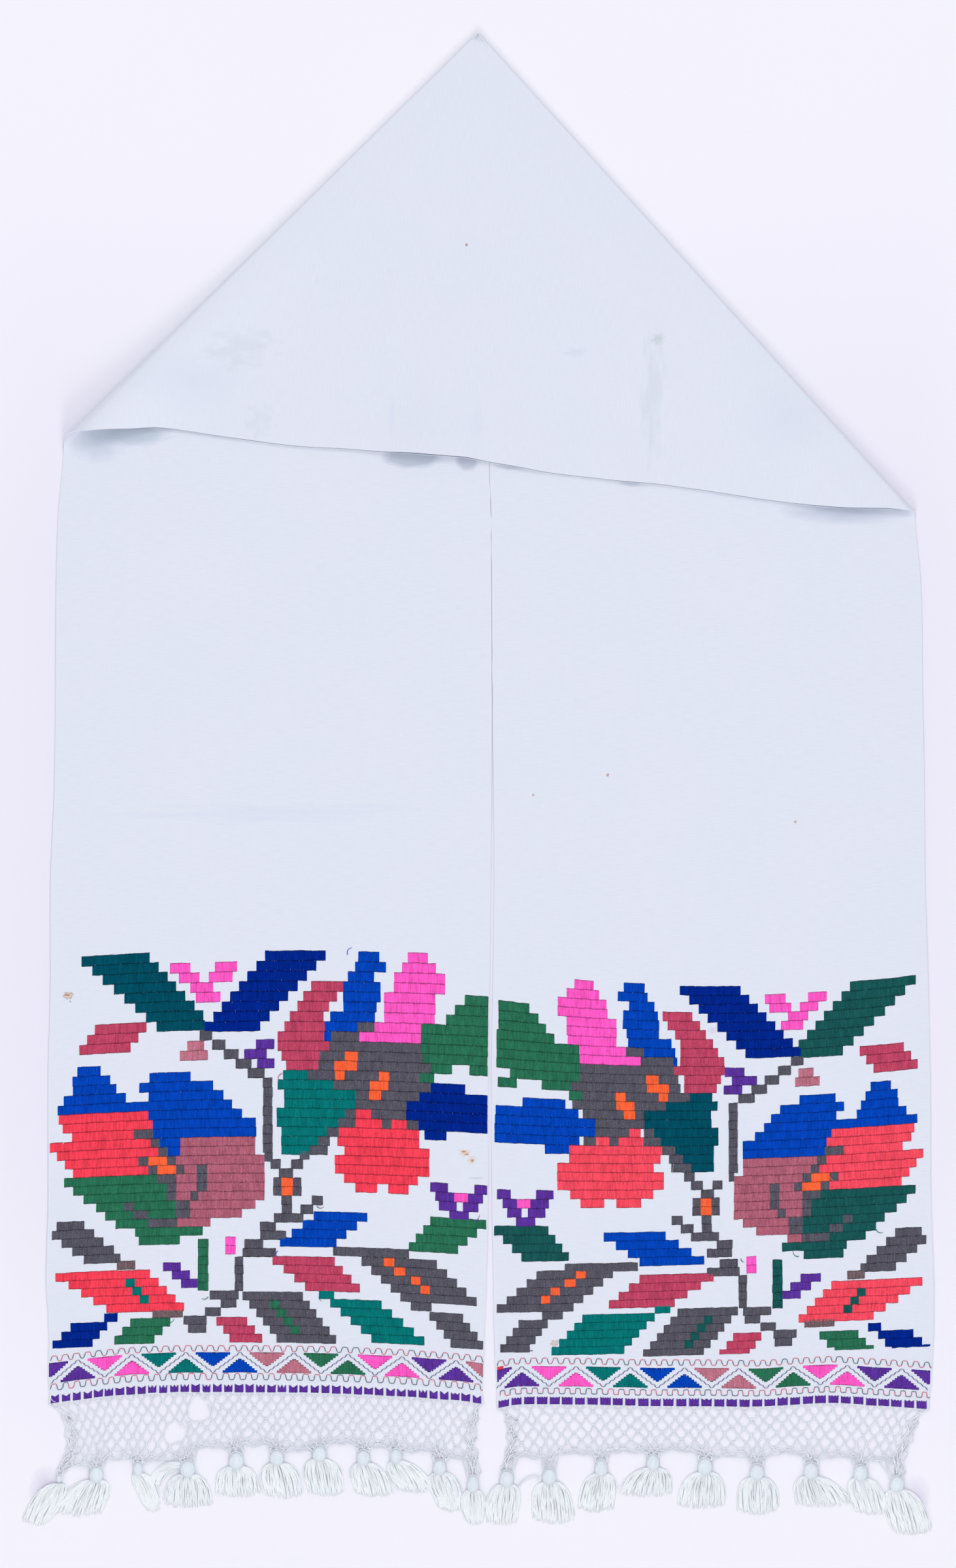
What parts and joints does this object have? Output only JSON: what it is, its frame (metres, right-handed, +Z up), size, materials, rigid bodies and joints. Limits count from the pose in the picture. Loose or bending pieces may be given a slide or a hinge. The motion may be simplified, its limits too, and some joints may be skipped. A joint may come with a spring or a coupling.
{
  "type": "rushnyk",
  "caption": "Long woven ritual towel with wool satin-stitch ends, knotted net lace and yarn tassels, folded on the diagonal and laid flat.",
  "frame": {"origin": "on the surface it lies on, at the middle of the laid out shape", "axes": "+Z up off the surface, +Y along the panels towards the point of the folds, +X to the right as seen from above"},
  "size_m": [0.836, 1.3787, 0.0212],
  "materials": {
    "linen": "fine plain weave, pale blue white",
    "lace_cord": "off-white knotted cord",
    "tassel_yarn": "pale ice blue yarn",
    "stitch_wool": "soft wool satin stitch in many colours"
  },
  "bodies": {
    "root": {"cloth": "linen", "lace_left": "lace_cord", "lace_right": "lace_cord", "tassel_left_01": "tassel_yarn", "tassel_left_02": "tassel_yarn", "tassel_left_03": "tassel_yarn", "tassel_left_04": "tassel_yarn", "tassel_left_05": "tassel_yarn", "tassel_left_06": "tassel_yarn", "tassel_left_07": "tassel_yarn", "tassel_left_08": "tassel_yarn", "tassel_left_09": "tassel_yarn", "tassel_left_10": "tassel_yarn", "tassel_left_11": "tassel_yarn", "tassel_right_01": "tassel_yarn", "tassel_right_02": "tassel_yarn", "tassel_right_03": "tassel_yarn", "tassel_right_04": "tassel_yarn", "tassel_right_05": "tassel_yarn", "tassel_right_06": "tassel_yarn", "tassel_right_07": "tassel_yarn", "tassel_right_08": "tassel_yarn", "tassel_right_09": "tassel_yarn"}
  },
  "joints": []
}
